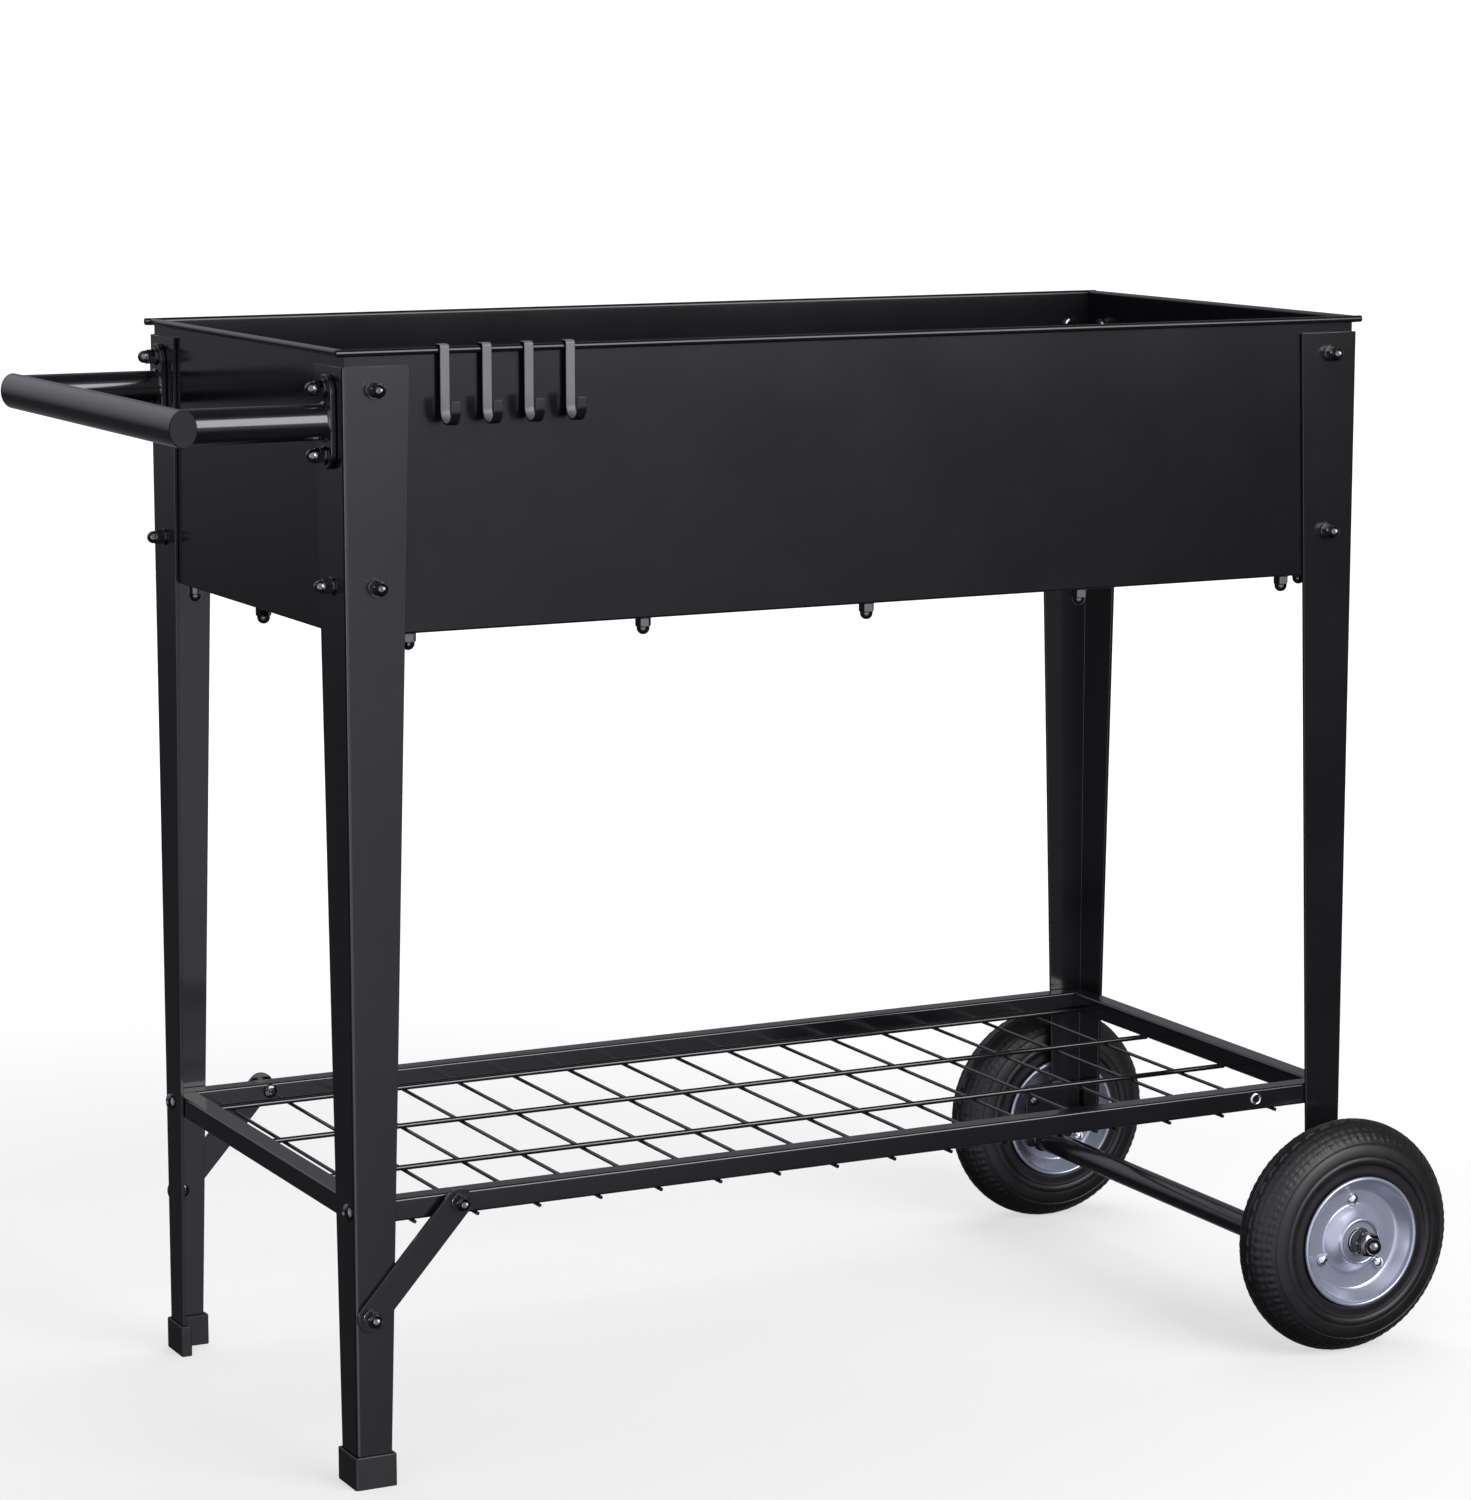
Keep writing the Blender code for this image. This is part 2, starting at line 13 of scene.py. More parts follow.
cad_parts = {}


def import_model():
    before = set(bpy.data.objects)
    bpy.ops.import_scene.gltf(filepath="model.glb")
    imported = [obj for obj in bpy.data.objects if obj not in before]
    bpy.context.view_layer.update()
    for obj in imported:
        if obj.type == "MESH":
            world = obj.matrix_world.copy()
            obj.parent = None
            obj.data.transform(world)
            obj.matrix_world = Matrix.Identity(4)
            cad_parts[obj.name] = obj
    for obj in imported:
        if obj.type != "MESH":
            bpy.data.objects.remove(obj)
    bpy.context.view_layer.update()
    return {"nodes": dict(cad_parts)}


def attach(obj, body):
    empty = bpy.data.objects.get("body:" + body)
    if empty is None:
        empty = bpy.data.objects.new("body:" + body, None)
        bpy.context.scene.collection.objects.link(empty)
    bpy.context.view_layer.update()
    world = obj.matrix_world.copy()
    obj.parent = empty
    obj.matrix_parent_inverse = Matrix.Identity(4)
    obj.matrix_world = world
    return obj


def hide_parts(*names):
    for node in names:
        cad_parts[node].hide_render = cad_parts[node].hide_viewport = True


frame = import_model()

ORIGIN_X = 0.021825
GAP = 0.0003

HALF_LEN, HALF_WID = 0.4130, 0.1930
LEG_T, LEG_TOP = 0.0025, 0.7880
LEG_W_TOP, LEG_W_FOOT, END_EXTRA, BOOT_H = 0.0494, 0.0263, 0.0022, 0.0240
LEG_FOOT, WHEEL_LEG_FOOT = 0.0040, 0.0835
SHEET = 0.0012
PANEL_X, PANEL_Y = HALF_LEN - LEG_T - GAP, HALF_WID - LEG_T - GAP
HEM_R = 0.0025
HEM_Z = 0.8000 - HEM_R
HEM_END_X = HALF_LEN + 0.0040
TUB_BOTTOM, LIP = 0.6040, 0.0200
FLOOR_Z = TUB_BOTTOM + 2 * SHEET + GAP
FRONT_BOLT_X, END_BOLT_Y = 0.3898, 0.1695
BOLT_Z_HIGH, BOLT_Z_LOW = 0.7722, 0.6374
HANDLE_X, HANDLE_Z, HANDLE_HALF = -0.5231, 0.7500, 0.1840
GRIP_RX, GRIP_RZ, ARM_R = 0.00975, 0.0130, 0.0125
PLATE_T, PLATE_W, PLATE_H, PLATE_BOLT = 0.0040, 0.0250, 0.0650, 0.0228
RAIL, RAIL_TOP = 0.0160, 0.2060
RAIL_Z = RAIL_TOP - RAIL / 2
RAIL_X, RAIL_Y = PANEL_X - 0.0001, PANEL_Y - 0.0001
WIRE_R, LONG_WIRE_R = 0.0014, 0.0020
WIRE_X0, WIRE_PITCH, WIRE_COUNT = -0.3661, 0.04806, 16
WIRE_Z = RAIL_TOP - RAIL - 0.0002 - WIRE_R
LONG_WIRE_Z = WIRE_Z + WIRE_R + LONG_WIRE_R - 0.0006
LONG_WIRE_Y = (-0.1715, -0.0580, 0.0580, 0.1715)
BRACE_W, BRACE_T = 0.0205, 0.0030
BRACE_LOW, BRACE_HIGH = (-0.4022, 0.1245), (-0.3345, RAIL_Z + 0.0020)
AXLE_X, TYRE_R, WHEEL_Y, HUB_HALF = 0.3978, 0.0914, 0.2228, 0.0238
BAR_X, BAR_Z, BAR_R, BRACKET_T = 0.3743, 0.0775, 0.0098, 0.0030
HOOK_X0, HOOK_PITCH, HOOK_COUNT = -0.3389, 0.0314, 4
HOOK_W, HOOK_T, HOOK_BEND, HOOK_BEND_Z, HOOK_TIP_Z = 0.0068, 0.0016, 0.0095, 0.7575, 0.7640

HOOK_BACK_Z, HOOK_FOLD_R = 0.7835, 0.0022
BEND_R = 0.0016
SECTION_R, RAIL_WALL, GRIP_WALL = 0.0016, 0.0015, 0.0015
BOOT_WALL, BOOT_ARM, BOOT_R = 0.0022, 0.0085, 0.0020
FLOOR_ROW_Y, FLOOR_ROW_X = 0.1755, (-0.36, -0.18, 0.0, 0.18, 0.36)
FLOOR_END_X, FLOOR_END_Y = 0.3990, (-0.142, 0.0, 0.142)
SHELF_SCREW_Y, SHELF_SCREW_Z, SHELF_SCREW_R, SHELF_SCREW_H = 0.1815, 0.1985, 0.0064, 0.0032
BRACKET_SCREW, LEG_SCREW, RIVET_NUT_X = (0.3640, 0.1120), (0.3985, 0.1135), 0.3370
RIVET_ANGLES, RIVET_RING = (93, 205, 317), 0.0318

CORNERS = (("front_handle", -1, -1), ("back_handle", -1, 1), ("front_wheel", 1, -1), ("back_wheel", 1, 1))
SIDES = (("front", -1), ("back", 1))
ENDS = (("handle_end", -1), ("wheel_end", 1))
TREAD_STEPS, TREAD_HALF, CROWN = 320, 0.0206, 27.0
ZIGZAG, SIPE = 0.00035, 0.0005
GROOVES = ((0.0032, 0.0050, 0.0012), (0.0080, 0.0098, 0.0012), (0.0126, 0.0144, 0.0012),
           (0.0166, 0.0180, 0.0008), (0.0194, 0.0204, 0.0008))

# soft glows of the room: direction, cosines where each starts and peaks, and its level
GLOWS = (((-0.39, -0.88, 0.27), 0.47, 0.77, 1.40), ((-0.35, 0.75, 0.56), 0.74, 0.98, 0.75),
         ((0.75, 0.66, 0.0), 0.50, 0.92, 0.20))
ROOM_TINT, ROOM_LEVEL = (0.98, 0.96, 1.07), 0.06
# the second value is the floor's own emission near the trolley: a painted glow, kept low there as painted
# shade, rising to 1.0 further out
FLOOR_GREY, FLOOR_PAINTED_GLOW = 0.25, 0.60


# ---------------------------------------------------------------- materials

def add(nodes, kind, **sockets):
    node = nodes.new(kind)
    for name, value in sockets.items():
        node.inputs[name.replace("_", " ")].default_value = value
    return node


def surface(name, low, high, rough, metallic=0.0, grain=900.0, bump=0.06, blotch=14.0,
            specular=0.5):
    """Painted or moulded surface: blotchy colour and roughness, and a fine grain in its bump."""
    mat = bpy.data.materials.new(name)
    mat.use_nodes = True
    nodes, links = mat.node_tree.nodes, mat.node_tree.links
    shader = nodes["Principled BSDF"]
    shader.inputs["Metallic"].default_value = metallic
    shader.inputs["Specular IOR Level"].default_value = specular
    coords = nodes.new("ShaderNodeTexCoord")
    cloud = add(nodes, "ShaderNodeTexNoise", Scale=blotch, Detail=6.0, Roughness=0.6)
    tint = nodes.new("ShaderNodeValToRGB")
    tint.color_ramp.elements[0].position, tint.color_ramp.elements[1].position = 0.35, 0.65
    tint.color_ramp.elements[0].color = (*low, 1.0)
    tint.color_ramp.elements[1].color = (*high, 1.0)
    sheen = add(nodes, "ShaderNodeMapRange", To_Min=rough[0], To_Max=rough[1])
    fine = add(nodes, "ShaderNodeTexNoise", Scale=grain, Detail=3.0, Roughness=0.55)
    relief = add(nodes, "ShaderNodeBump", Strength=bump, Distance=0.0004)
    for texture in (cloud, fine):
        links.new(coords.outputs["Object"], texture.inputs["Vector"])
    links.new(cloud.outputs["Fac"], tint.inputs["Fac"])
    links.new(tint.outputs["Color"], shader.inputs["Base Color"])
    links.new(cloud.outputs["Fac"], sheen.inputs["Value"])
    links.new(sheen.outputs["Result"], shader.inputs["Roughness"])
    links.new(fine.outputs["Fac"], relief.inputs["Height"])
    links.new(relief.outputs["Normal"], shader.inputs["Normal"])
    return mat


def grey(value, blue=1.0):
    return (value, value, value * blue)


COAT = surface("powder_coat", grey(0.0042, 1.20), grey(0.0054, 1.22), (0.12, 0.16), bump=0.03, specular=0.58)
PANEL = surface("panel_coat", grey(0.0042, 1.20), grey(0.0054, 1.22), (0.13, 0.17), bump=0.03, specular=0.36)
GLOSS = surface("black_nickel", grey(0.09), grey(0.13), (0.05, 0.09), metallic=1.0, grain=600.0, bump=0.02)
# light grey of the hooks' inner face: a painted sheen for the light that face catches, laid over what is
# black coat
HOOK_PAINTED_SHEEN = surface("hook_painted_sheen", grey(0.072, 1.06), grey(0.086, 1.06), (0.42, 0.52), bump=0.08)
RUBBER = surface("boot_rubber", grey(0.0075, 1.08), grey(0.0105, 1.08), (0.42, 0.50), grain=1500.0, bump=0.2,
                 specular=0.38)
TYRE = surface("tyre_rubber", grey(0.0042, 1.05), grey(0.0068, 1.05), (0.34, 0.46), grain=1300.0, bump=0.25,
               blotch=45.0, specular=0.32)
PLASTIC = surface("plug_plastic", grey(0.0055, 1.10), grey(0.0075, 1.10), (0.55, 0.65), grain=1800.0,
                  bump=0.2, specular=0.2)
RIM = surface("rim_silver", (0.315, 0.335, 0.405), (0.335, 0.355, 0.425), (0.24, 0.26), metallic=0.62,
              grain=500.0, bump=0.0, blotch=60.0)
ZINC = surface("bright_zinc", (0.42, 0.43, 0.46), (0.56, 0.57, 0.60), (0.12, 0.22), metallic=1.0, grain=700.0,
               bump=0.04, blotch=120.0)


# ---------------------------------------------------------------- mesh helpers

def place(bm, name, body, material, nodes=(), bevel=0.0, sharp=32.0, materials=()):
    """Turn a bmesh into a finished piece that rides on a body of the frame."""
    bmesh.ops.remove_doubles(bm, verts=bm.verts, dist=1e-7)
    bmesh.ops.recalc_face_normals(bm, faces=bm.faces)
    bm.transform(Matrix.Translation((ORIGIN_X, 0, 0)))
    mesh = bpy.data.meshes.new(name)
    bm.to_mesh(mesh)
    bm.free()
    for entry in (material, *materials):
        mesh.materials.append(entry)
    mesh.shade_smooth()
    if not bevel:
        mesh.set_sharp_from_angle(angle=math.radians(sharp))
    obj = bpy.data.objects.new(name, mesh)
    bpy.context.scene.collection.objects.link(obj)
    if bevel:
        mod = obj.modifiers.new("edges", "BEVEL")
        mod.width, mod.segments = bevel, 2
        mod.limit_method, mod.angle_limit = "ANGLE", math.radians(sharp)
        mod.harden_normals = True
    flat = obj.modifiers.new("flat_faces", "WEIGHTED_NORMAL")
    flat.keep_sharp = True
    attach(obj, body)
    if nodes:
        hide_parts(*nodes)
    return obj


def loft(bm, sections, capped=True):
    rings = [[bm.verts.new(p) for p in section] for section in sections]
    count = len(rings[0])
    for a, b in zip(rings, rings[1:]):
        for i in range(count):
            j = (i + 1) % count
            bm.faces.new((a[i], a[j], b[j], b[i]))
    if capped:
        bm.faces.new(list(reversed(rings[0])))
        bm.faces.new(rings[-1])
    return rings


def point(axis, pair, along):
    """3-D point from a position along one axis and the other two coordinates in order."""
    values = list(pair)
    values.insert("XYZ".index(axis), along)
    return values


def prism(bm, outline, axis, low, high):
    """Extrude a 2-D outline along X, Y or Z."""
    loft(bm, [[point(axis, p, low) for p in outline], [point(axis, p, high) for p in outline]])


def oval(rx, rz, count, centre=(0.0, 0.0)):
    return [(centre[0] + rx * math.cos(2 * math.pi * i / count),
             centre[1] + rz * math.sin(2 * math.pi * i / count)) for i in range(count)]


def rod(bm, axis, centre, radius, low, high, count=32):
    prism(bm, oval(radius, radius, count, centre), axis, low, high)


def tube(bm, outer, inner, axis, low, high):
    """Open tube between two outlines with equal point counts."""
    rings = loft(bm, [[point(axis, p, a) for p in line] for line, a in
                      ((outer, low), (outer, high), (inner, high), (inner, low))], capped=False)
    count = len(outer)
    for i in range(count):
        j = (i + 1) % count
        bm.faces.new((rings[3][i], rings[3][j], rings[0][j], rings[0][i]))


def arc(centre, radius, start, end, steps):
    return [(centre[0] + radius * math.cos(math.radians(start + (end - start) * i / steps)),
             centre[1] + radius * math.sin(math.radians(start + (end - start) * i / steps)))
            for i in range(steps + 1)]


def rounded_square(centre, half, radius, steps=5):
    """Square outline with rounded corners."""
    points = []
    for k in range(4):
        sx, sy = ((1, 1), (-1, 1), (-1, -1), (1, -1))[k]
        middle = (centre[0] + sx * (half - radius), centre[1] + sy * (half - radius))
        points += arc(middle, radius, 90 * k, 90 * k + 90, steps)
    return points


def rounded_bar(a, b, half, steps=14):
    """Outline of a flat bar with round ends between two bolt centres."""
    along = math.degrees(math.atan2(b[1] - a[1], b[0] - a[0]))
    return arc(b, half, along - 90, along + 90, steps) + arc(a, half, along + 90, along + 270, steps)


def turned(bm, rings, origin, direction, count=36, closed=False, turn=0.0):
    """Lathe rings (along, radius) about a line. A third value, flat, keeps the ring inside a hexagon."""
    axis = Vector(direction).normalized()
    spin = Vector((0, 0, 1)).rotation_difference(axis)
    origin = Vector(origin)
    made = []
    for ring in rings:
        along, radius = ring[0], ring[1]
        if radius == 0:
            made.append([bm.verts.new(origin + axis * along)])
            continue
        verts = []
        for i in range(count):
            t = 2 * math.pi * i / count
            r = radius
            if len(ring) > 2:
                r = min(r, ring[2] / math.cos((t + math.pi / 6) % (math.pi / 3) - math.pi / 6))
            a = t + turn
            verts.append(bm.verts.new(origin + spin @ Vector((r * math.cos(a), r * math.sin(a), along))))
        made.append(verts)
    for a, b in list(zip(made, made[1:])) + ([(made[-1], made[0])] if closed else []):
        for i in range(count):
            j = (i + 1) % count
            if len(a) == 1:
                bm.faces.new((a[0], b[j], b[i]))
            elif len(b) == 1:
                bm.faces.new((a[i], a[j], b[0]))
            else:
                bm.faces.new((a[i], a[j], b[j], b[i]))


def ribbon(bm, path, thickness, axis, extents):
    """Folded strip of 2-D path points, with extents for each point's row; returns the faces on the path."""
    sides = []
    for i, here in enumerate(path):
        before, after = Vector(path[max(i - 1, 0)]), Vector(path[min(i + 1, len(path) - 1)])
        d1, d2 = Vector(here) - before, after - Vector(here)
        normals = [Vector((-d.y, d.x)).normalized() for d in (d1, d2) if d.length > 1e-9]
        normal = sum(normals, Vector((0, 0))).normalized()
        reach = thickness / max(0.35, normal.dot(normals[0]))
        sides.append((here, tuple(Vector(here) + normal * reach)))
    corners = ((0, 0), (1, 0), (1, 1), (0, 1))
    rows = [[bm.verts.new(point(axis, side[k], extent[e])) for k, e in corners]
            for side, extent in zip(sides, extents)]
    inside = []
    for a, b in zip(rows, rows[1:]):
        for k in range(4):
            n = (k + 1) % 4
            face = bm.faces.new((a[k], a[n], b[n], b[k]))
            if k == 3:
                inside.append(face)
    bm.faces.new(list(reversed(rows[0])))
    bm.faces.new(rows[-1])
    return inside


# ---------------------------------------------------------------- tub

def panel_path():
    """Outer face of a tub panel from the lip's free edge up and round the open hem, as (outward, z)."""
    curl = HEM_R - SHEET
    path = [(-LIP, TUB_BOTTOM)] + arc((-BEND_R, TUB_BOTTOM + BEND_R), BEND_R, -90, 0, 5)
    path += [(0.0, HEM_Z - HEM_R - 0.0003), (0.0, HEM_Z - HEM_R - 0.0001)]
    return path + arc((curl, HEM_Z), curl, 180, -105, 26)


def panel(name, axis, side, wide, narrow, lip_half):
    """Tub panel: its hem reaches wide, its sheet narrow and its lip lip_half to each side of the middle."""
    path = panel_path()
    face = PANEL_Y if axis == "X" else PANEL_X
    extents = []
    for out, z in path:
        half = wide if z > HEM_Z - HEM_R - 0.0002 else lip_half if out < 0.0001 - BEND_R else narrow
        extents.append((-half, half))
    bm = bmesh.new()
    placed = [(side * (face + out), z) for out, z in path]
    ribbon(bm, placed, SHEET * side, axis, extents)
    return place(bm, name.replace("tub_", "skin_"), "frame", PANEL, [name], sharp=28)


def tub():
    for label, side in SIDES:
        panel(f"tub_panel_{label}", "X", side, HEM_END_X, PANEL_X, PANEL_X - BEND_R - GAP)
    for label, side in ENDS:
        half = PANEL_Y - SHEET - GAP
        panel(f"tub_panel_{label}", "Y", side, half, half, PANEL_Y - LIP - GAP)


# ---------------------------------------------------------------- legs and boots

def angle_section(sx, sy, corner, width, thick, bend):
    """L section with its outer corner rounded and its arms running back towards the tub centre."""
    end = width + END_EXTRA
    local = arc((bend, bend), bend, 270, 180, 6)
    local += [(0, end), (thick, end), (thick, thick), (width, thick), (width, 0)]
    return [(sx * (corner[0] - u), sy * (corner[1] - v)) for u, v in local]


def legs():
    for label, sx, sy in CORNERS:
        bm = bmesh.new()
        sections = []
        for z in (LEG_FOOT if sx < 0 else WHEEL_LEG_FOOT, LEG_TOP):
            width = LEG_W_FOOT + (LEG_W_TOP - LEG_W_FOOT) * (z - BOOT_H) / (LEG_TOP - BOOT_H)
            outline = angle_section(sx, sy, (HALF_LEN, HALF_WID), width, LEG_T, LEG_T)
            sections.append([(x, y, z) for x, y in outline])
        loft(bm, sections)
        place(bm, f"leg_coat_{label}", "frame", COAT, [f"leg_{label}"], bevel=0.0003)


def boots():
    corner = (HALF_LEN + BOOT_WALL, HALF_WID + BOOT_WALL)
    for label, sy in SIDES:
        outer = angle_section(-1, sy, corner, LEG_W_FOOT + 2 * BOOT_WALL + 2 * GAP, BOOT_ARM, BOOT_R)
        inner = angle_section(-1, sy, (HALF_LEN + GAP, HALF_WID + GAP), LEG_W_FOOT + 3 * GAP,
                              LEG_T + 2 * GAP, LEG_T)
        bm = bmesh.new()
        levels = [(outer, 0.0), (outer, BOOT_H), (inner, BOOT_H), (inner, LEG_FOOT - GAP)]
        loft(bm, [[(x, y, z) for x, y in line] for line, z in levels])
        place(bm, f"boot_shell_{label}", "frame", RUBBER, [f"boot_{label}"], bevel=0.0009)


# ---------------------------------------------------------------- handle

def handle():
    half = HANDLE_HALF - SHEET - GAP
    centre = (HANDLE_X, HANDLE_Z)
    bm = bmesh.new()
    tube(bm, oval(GRIP_RX, GRIP_RZ, 48, centre), oval(GRIP_RX - GRIP_WALL, GRIP_RZ - GRIP_WALL, 48, centre),
         "Y", -half, half)
    place(bm, "grip_tube", "frame", COAT, ["handle_grip"], bevel=0.0004)
    for label, side in SIDES:
        bm = bmesh.new()
        stops = ((HANDLE_HALF - 0.010, 0.0018), (half + GAP / 2, 0.0018), (half + GAP / 2, 0.0),
                 (HANDLE_HALF - 0.0004, 0.0), (HANDLE_HALF, 0.0006))
        loft(bm, [[(x, side * y, z) for x, z in oval(GRIP_RX - s, GRIP_RZ - s, 48, centre)]
                  for y, s in stops])
        place(bm, f"grip_plug_{label}", "frame", PLASTIC, [f"handle_plug_{label}"])
        handle_arm(label, side * END_BOLT_Y)


def handle_arm(label, y):
    """Arm tube, weld bead and bolt plate of one side."""
    face = -(HALF_LEN + GAP)
    reach = (PLATE_H - PLATE_W) / 2
    plate = face - PLATE_T
    bm = bmesh.new()
    prism(bm, rounded_bar((y, HANDLE_Z - reach), (y, HANDLE_Z + reach), PLATE_W / 2), "X", plate, face)
    place(bm, f"handle_plate_{label}", "frame", COAT, bevel=0.0006)
    bm = bmesh.new()
    rod(bm, "X", (y, HANDLE_Z), ARM_R, HANDLE_X, plate + 0.001, 56)
    turned(bm, [(0.0, ARM_R - 0.001), (0.0, ARM_R + 0.0016), (0.0011, ARM_R + 0.0012),
                (0.0022, ARM_R - 0.0002), (0.0022, ARM_R - 0.001)], (plate, y, HANDLE_Z), (-1, 0, 0), 56,
           closed=True)
    place(bm, f"arm_tube_{label}", "frame", COAT, [f"handle_arm_{label}"])


# ---------------------------------------------------------------- shelf

def rail(label, axis, across, half):
    """Square tube along an axis, its middle at the given place across."""
    middle = (across, RAIL_Z)
    bm = bmesh.new()
    tube(bm, rounded_square(middle, RAIL / 2, SECTION_R),
         rounded_square(middle, RAIL / 2 - RAIL_WALL, 0.0006), axis, -half, half)
    place(bm, f"rail_tube_{label}", "frame", COAT, [f"shelf_rail_{label}"])


def shelf():
    for label, side in SIDES:
        rail(label, "X", side * (RAIL_Y - RAIL / 2), RAIL_X)
    for label, side in ENDS:
        rail(label, "Y", side * (RAIL_X - RAIL / 2), RAIL_Y - RAIL - GAP)
    bm = bmesh.new()
    for i in range(WIRE_COUNT):
        rod(bm, "Y", (WIRE_X0 + i * WIRE_PITCH, WIRE_Z), WIRE_R, -RAIL_Y, RAIL_Y, 14)
    reach = RAIL_X - RAIL - GAP
    for y in LONG_WIRE_Y:
        rod(bm, "X", (y, LONG_WIRE_Z), LONG_WIRE_R, -reach, reach, 18)
    place(bm, "shelf_wires", "frame", COAT, ["shelf_mesh"], sharp=60)


def braces():
    for label, side in SIDES:
        ys = sorted((side * (HALF_WID + GAP), side * (HALF_WID + GAP + BRACE_T)))
        bm = bmesh.new()
        prism(bm, rounded_bar(BRACE_LOW, BRACE_HIGH, BRACE_W / 2), "Y", ys[0], ys[1])
        place(bm, f"brace_bar_{label}", "frame", COAT, [f"brace_{label}"],
              bevel=0.0004)


# ---------------------------------------------------------------- axle bar and wheels

def axle_bar():
    """Cross tube, its two weld beads and the bracket plates on the wheel-end legs."""
    face = HALF_WID - LEG_T - GAP
    bm = bmesh.new()
    rod(bm, "Y", (BAR_X, BAR_Z), BAR_R, -face + BRACKET_T - 0.0005, face - BRACKET_T + 0.0005, 48)
    for side in (-1, 1):
        turned(bm, [(0.0, BAR_R - 0.001), (0.0, BAR_R + 0.0015), (0.0010, BAR_R + 0.0011),
                    (0.0020, BAR_R - 0.0002), (0.0020, BAR_R - 0.001)],
               (BAR_X, side * (face - BRACKET_T), BAR_Z), (0, -side, 0), 48, closed=True)
    place(bm, "axle_tube", "frame", COAT, ["axle_bar"])
    outline = arc((0.3615, 0.0765), 0.0050, 180, 270, 6) + [(0.3950, 0.0715), (0.4080, 0.0840)]
    outline += arc((0.4050, 0.1220), 0.0030, 0, 90, 4) + arc((0.3595, 0.1220), 0.0030, 90, 180, 4)
    for label, side in SIDES:
        ys = sorted((side * (face - BRACKET_T), side * face))
        bm = bmesh.new()
        prism(bm, outline, "Y", ys[0], ys[1])
        place(bm, f"axle_plate_{label}", "frame", COAT, bevel=0.0004)


def crown(y):
    """Radius of the tread at a distance from the middle of the tyre."""
    return TYRE_R - CROWN * y * y


def tread_profile():
    """Half tyre section as (y, radius, rib): ribs count from 0, -1 is sidewall and -2 is groove floor."""
    points = [(0.0, crown(0.0), 0)]
    for rib, (start, end, depth) in enumerate(GROOVES):
        points += [(start, crown(start), rib), (end - 0.0005, crown(end - 0.0005) - depth, -2),
                   (end - 0.0002, crown(end - 0.0002) - depth, -2), (end, crown(end), rib + 1)]
    points += [(0.0217, 0.0782, -2)]
    wall = [(0.0222, 0.0774), (0.0219, 0.0769), (0.0220, 0.0763), (0.0228, 0.0757), (0.0237, 0.0735),
            (0.0244, 0.0705), (0.0247, 0.0682), (0.0246, 0.0670), (0.0241, 0.0665), (0.0242, 0.0659),
            (0.0248, 0.0653), (0.0250, 0.0640), (0.0249, 0.0626), (0.0244, 0.0612), (0.0236, 0.0605),
            (0.0229, 0.0600), (0.0226, 0.0588), (0.0228, 0.0560), (0.0231, 0.0538), (0.0229, 0.0523),
            (0.0222, 0.0510), (0.0211, 0.0492), (0.0135, 0.0422)]
    return points + [(y, r, -1) for y, r in wall]


def tyre(label, side):
    """Tyre with zigzag grooves and sipes cut across its ribs."""
    half = tread_profile()
    profile = list(reversed(half)) + [(-y, r, rib) for y, r, rib in half[1:]]
    bm = bmesh.new()
    rings = []
    for y, r, rib in profile:
        verts = []
        for k in range(TREAD_STEPS):
            t = 2 * math.pi * k / TREAD_STEPS
            wave = abs(k % 4 - 2) - 1.0
            along = y + (ZIGZAG * wave if rib != -1 and 0.0 < abs(y) < TREAD_HALF else 0.0)
            out = r
            if rib >= 0 and (k + 2 * rib) % 8 == 0 and y != 0.0:
                out -= SIPE
            verts.append(bm.verts.new((AXLE_X + out * math.cos(t), side * WHEEL_Y + along,
                                       TYRE_R + out * math.sin(t))))
        rings.append(verts)
    for a, b in zip(rings, rings[1:] + rings[:1]):
        for i in range(TREAD_STEPS):
            j = (i + 1) % TREAD_STEPS
            bm.faces.new((a[i], a[j], b[j], b[i]))
    place(bm, f"tyre_tread_{label}", f"wheel_{label}", TYRE, [f"tyre_{label}"], sharp=38)


def rim(label, side, facing, kind):
    """Pressed half rim: rolled lip, conical dish, flat web and raised hub boss, with its three rivets."""
    outer = [(0.0224, 0.0107), (0.0224, 0.0150), (0.0236, 0.0156), (0.0244, 0.0164), (0.0246, 0.0173),
             (0.0243, 0.0181), (0.0232, 0.0189), (0.0220, 0.0196), (0.0190, 0.0232), (0.0163, 0.0262),
             (0.0151, 0.0271), (0.0144, 0.0278), (0.0143, 0.0290), (0.0143, 0.0382), (0.0146, 0.0392),
             (0.0153, 0.0402), (0.0165, 0.0413), (0.0225, 0.0464), (0.0238, 0.0473), (0.0249, 0.0479)]
    lip = arc((0.0243, 0.0496), 0.0016, -80, 140, 12)
    inner = [(0.0222, 0.0484), (0.0138, 0.0408), (0.0132, 0.0392), (0.0131, 0.0282), (0.0140, 0.0268),
             (0.0176, 0.0228), (0.0212, 0.0184), (0.0212, 0.0107)]
    centre = Vector((AXLE_X, side * WHEEL_Y, TYRE_R))
    bm = bmesh.new()
    turned(bm, outer + lip + inner, centre, (0, facing, 0), 96, closed=True)
    place(bm, f"rim_shell_{kind}_{label}", f"wheel_{label}", RIM, [f"rim_{kind}_{label}"],
          sharp=50)
    bm = bmesh.new()
    for angle in RIVET_ANGLES:
        t = math.radians(angle)
        at = centre + RIVET_RING * Vector((math.cos(t), 0, math.sin(t)))
        turned(bm, [(0.0138, 0), (0.0138, 0.0030), (0.0144, 0.0044), (0.0152, 0.0046), (0.0162, 0.0042),
                    (0.0172, 0.0032), (0.0178, 0.0017), (0.0180, 0)], at, (0, facing, 0), 24)
    place(bm, f"rim_rivets_{kind}_{label}", f"wheel_{label}", ZINC, sharp=60)


